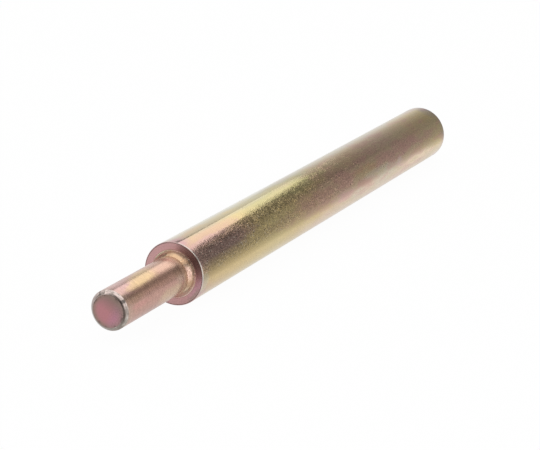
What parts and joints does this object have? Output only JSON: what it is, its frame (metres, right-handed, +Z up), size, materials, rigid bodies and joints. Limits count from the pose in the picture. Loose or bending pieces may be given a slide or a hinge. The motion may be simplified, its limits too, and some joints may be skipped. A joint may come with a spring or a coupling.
{
  "type": "anchor setting tool",
  "caption": "Solid steel setting punch for drop-in anchors: a plain round shank steps down at a shoulder to a short chamfered pin that drives the anchor's expander plug under a hammer blow.",
  "frame": {"origin": "on the surface the tool lies on, under the middle of its length", "axes": "+X along the bar's axis from the pin's nose to the struck end, +Z up, Y across the bar"},
  "size_m": [0.1574, 0.013, 0.013],
  "materials": {
    "yellow_zinc_steel": "turned steel, zinc plated and yellow passivated, iridescent satin"
  },
  "bodies": {
    "root": {"setting_punch": "yellow_zinc_steel"}
  },
  "joints": []
}
